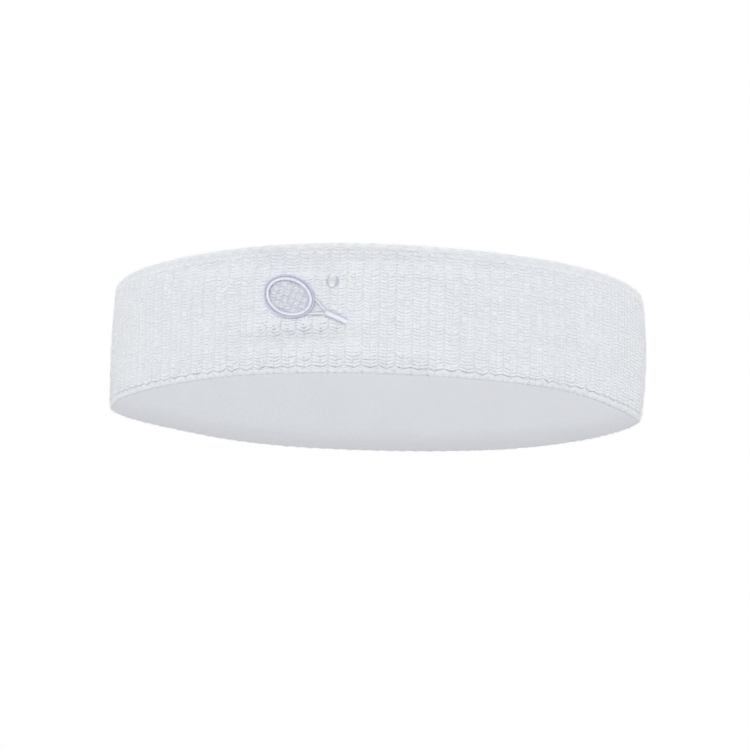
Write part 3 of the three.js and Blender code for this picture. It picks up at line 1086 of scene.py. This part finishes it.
# %% The racket and the ball
rim = ring_satin(
    "motif_rim_threads", 0.0, RIM_WIDTH,
    threads=190, puff=mm(0.5), material=satin_white, seed=40,
)
outline = ring_satin(
    "motif_outline_threads", -OUTLINE_GAP - OUTLINE_WIDTH, -OUTLINE_GAP,
    threads=210, puff=mm(0.25), material=satin_lilac, seed=41,
)
half_handle = HANDLE_WIDTH / 2
handle_end = HANDLE_START + HANDLE_LENGTH
handle_guide = edge_strip(
    "handle_guide", straight_edge((HANDLE_START, half_handle), (handle_end, half_handle)),
    straight_edge((HANDLE_START, -half_handle), (handle_end, -half_handle)), 0.1,
)
handle = satin(
    "motif_handle_threads", [handle_guide],
    threads=31, slant=0.05, puff=mm(0.6), material=satin_white, seed=42,
)
ARM_CLEAR = 0.9  # how far past the rim an arm of the throat starts


def arm_guide(side):
    """One arm of the throat, from the head to the handle."""
    inner, outer = THROAT_SPREAD - THROAT_ARM_WIDTH / 2, THROAT_SPREAD + THROAT_ARM_WIDTH / 2
    start = HEAD_LENGTH / 2 * math.sqrt(1 - (THROAT_SPREAD / HEAD_WIDTH * 2) ** 2) + ARM_CLEAR
    edges = [
        straight_edge((start, side * outer), (THROAT_END, side * half_handle)),
        straight_edge((start, side * inner), (THROAT_END, 0)),
    ]
    return edge_strip(f"throat_guide_{side}", *(edges if side > 0 else edges[::-1]), 0.0)


throat_guides = [arm_guide(1), arm_guide(-1)]
throat = satin(
    "motif_throat_threads", throat_guides,
    threads=19, slant=0.0, puff=mm(0.4), material=satin_white, seed=44,
)
POLE_SHARE = 0.04  # of half a turn, left open at the ball's top and bottom


def ball_edge(side):
    """Half of the ball's outline, from its lowest point to its highest."""
    def edge(share):
        angle = math.pi * (POLE_SHARE + (1 - 2 * POLE_SHARE) * min(share, 1.0))
        return BALL_CENTRE + BALL_RADIUS * np.array([side * math.sin(angle), math.cos(angle)])
    return edge


ball_guide = edge_strip("ball_guide", ball_edge(-1), ball_edge(1))
ball = satin(
    "motif_ball_threads", [ball_guide],
    threads=19, slant=0.0, puff=mm(0.6), material=satin_white, seed=46,
)

# %% [markdown]
# The strings are single lines of running stitch, where the thread goes in and out along the line.
# The same tree does it: on a very narrow strip, a slant of a whole stitch lays the threads along
# the line and not across it.

# %% The strings
STRING_THREAD = mm(0.26)
STITCH_LENGTH = 1.5
STRING_STRIP = 0.1  # the strip's width
STITCH_OVERLAP = 1.05  # each stitch reaches a little past the start of the next


def string_lines(reach, other_reach):
    """Where strings lie across the head, and how far each one reaches."""
    count = int(reach // STRING_PITCH)
    offsets = [n * STRING_PITCH for n in range(-count, count + 1)]
    return [(offset, other_reach * math.sqrt(1 - (offset / reach) ** 2)) for offset in offsets]


inside_length, inside_width = HEAD_LENGTH / 2 - RIM_WIDTH, HEAD_WIDTH / 2 - RIM_WIDTH
main_strings = [((-far, y), (far, y)) for y, far in string_lines(inside_width, inside_length)]
cross_strings = [((x, -far), (x, far)) for x, far in string_lines(inside_length, inside_width)]
string_pieces = []
for number, (start, end) in enumerate(main_strings + cross_strings):
    start, end = np.array(start), np.array(end)
    length = float(np.hypot(*(end - start)))
    side = np.array([-(end - start)[1], (end - start)[0]]) / length * STRING_STRIP / 2
    stitches = max(2, round(length / STITCH_LENGTH))
    guide = edge_strip(
        f"string_guide_{number}", straight_edge(start + side, end + side),
        straight_edge(start - side, end - side), 0.6,
    )
    string_pieces.append(satin(
        f"string_{number}", [guide], threads=stitches, slant=STITCH_OVERLAP / stitches,
        puff=mm(0.3), material=satin_lilac, seed=50 + number, thickness=STRING_THREAD,
    ))
strings = joined(string_pieces, "motif_string_threads")
motif_pieces = (rim, outline, handle, throat, ball, strings)
print("motif", sum(len(piece.data.polygons) for piece in motif_pieces), "faces")

# %% [markdown]
# ## The backing
# The stabiliser behind the motif is a thin nonwoven sheet, torn off along its edges. It follows the
# back of the knit. Its finish is a tangle of fibres: a fine noise.

# %% The backing
nonwoven, tree, shader = new_material("nonwoven", 0.9, 0.0)
two_tone(tree, shader, object_noise(tree, 900.0, 5.0), (0.72, 0.72, 0.70, 1), (0.86, 0.86, 0.85, 1))
bumped(tree, shader, object_noise(tree, 1800.0, 5.0), mm(0.1))
backing_low, backing_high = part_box("motif_backing")
backing_half = (backing_high[0] - backing_low[0]) / 2 / BACKING_OUT
backing_turns = np.linspace(-backing_half, backing_half, 41)
backing_rows = np.linspace(backing_low[2], backing_high[2], 29)
RAGGED = mm(0.35)
ragged = RAGGED * np.random.default_rng(7).standard_normal(len(backing_turns))
from_middle = (backing_rows - backing_rows.mean()) / np.ptp(backing_rows)
torn = np.sign(from_middle) * (np.abs(from_middle) > 0.45)  # only the rows by the two edges
rows = backing_rows[None, :] + ragged[:, None] * torn[None, :]
backing_points = lay(backing_turns[:, None], BACKING_OUT - mm(0.1), rows)
across_last, up_last = len(backing_turns) - 1, len(backing_rows) - 1
backing = linked("motif_backing_sheet", grid_mesh(
    "motif_backing_sheet", backing_points, lambda i, j: (i / across_last, j / up_last)
))
backing.data.materials.append(nonwoven)
solidify = backing.modifiers.new("thickness", "SOLIDIFY")
solidify.thickness = mm(0.15)
print("backing", len(backing.data.polygons), "faces")

# %% [markdown]
# ## Ride and replace
# Every piece rides on the band's one body, and the measured pieces that it stands for are hidden.

# %% Hand the pieces over
def hand_over(piece, slot, *nodes):
    """Puts a piece on the body and hides the measured pieces it stands for; the slot is not used.
    """
    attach(piece, "root")
    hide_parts(*nodes)


for piece in knit_pieces + edge_pieces:
    hand_over(piece, "knit", "outer_knit")
hand_over(lining, "lining", "inner_lining")
for piece, node in zip(linking_pieces, LINKING_NODES):
    hand_over(piece, "linking_thread", node)
for node, piece in elastic_pieces.items():
    hand_over(piece, "elastic", node)
hand_over(rim, "motif_white", "motif_rim")
hand_over(outline, "motif_lilac", "motif_outline")
hand_over(strings, "motif_lilac", "motif_strings")
hand_over(throat, "motif_white", "motif_throat")
hand_over(handle, "motif_white", "motif_handle")
hand_over(ball, "motif_white", "motif_ball")
hand_over(backing, "backing", "motif_backing")

# %% [markdown]
# ## The studio
# The band hangs in the air, as if on a head that isn't there, over a plain pale floor. The camera
# looks up from below, so the floor lies well under it, and reaches far enough to seem endless. A
# white sky lights everything softly, and the darker floor under it shades whatever faces down. One
# weak, wide lamp in front makes the stitches cast small shadows.

# %% Floor, lights and sky
FLOOR_DROP = 0.25
FLOOR_SIZE = 30.0
floor = linked("floor", bpy.data.meshes.new("floor"))
corners = [(-1, -1), (1, -1), (1, 1), (-1, 1)]
floor.data.from_pydata(
    [(x * FLOOR_SIZE, y * FLOOR_SIZE, -FLOOR_DROP) for x, y in corners], [], [(0, 1, 2, 3)]
)
floor_material, tree, shader = new_material("pale_floor", 0.8, 0.0)
two_tone(tree, shader, object_noise(tree, 1.5), (0.785, 0.785, 0.785, 1), (0.80, 0.80, 0.80, 1))
floor.data.materials.append(floor_material)

SKY_SEEN = 1.0
SKY_LIGHT = 1.085
world = bpy.data.worlds.new("studio")
scene.world = world
world.use_nodes = True
sky = world.node_tree
sky.nodes.clear()
seen = add(sky, "ShaderNodeBackground", Color=(1, 1, 1, 1), Strength=SKY_SEEN)
light = add(sky, "ShaderNodeBackground", Color=(0.97, 0.985, 1, 1), Strength=SKY_LIGHT)
path = add(sky, "ShaderNodeLightPath")
mixed = sky.nodes.new("ShaderNodeMixShader")
sky.links.new(path.outputs["Is Camera Ray"], mixed.inputs[0])
sky.links.new(outlet(light), mixed.inputs[1])
sky.links.new(outlet(seen), mixed.inputs[2])
sky.links.new(outlet(mixed), sky.nodes.new("ShaderNodeOutputWorld").inputs["Surface"])


def lamp(name, place, size, watts):
    """A square area light aimed at the band."""
    data = bpy.data.lights.new(name, "AREA")
    data.size = size
    data.energy = watts
    made = linked(name, data)
    made.location = place
    aim = Vector((0, 0, BAND_HEIGHT / 2)) - Vector(place)
    made.rotation_mode = "QUATERNION"
    made.rotation_quaternion = aim.to_track_quat("-Z", "Y")


lamp("key", (0.1, -0.9, 0.6), 0.6, 0.22)
scene.view_settings.view_transform = "Standard"
print("studio ready")
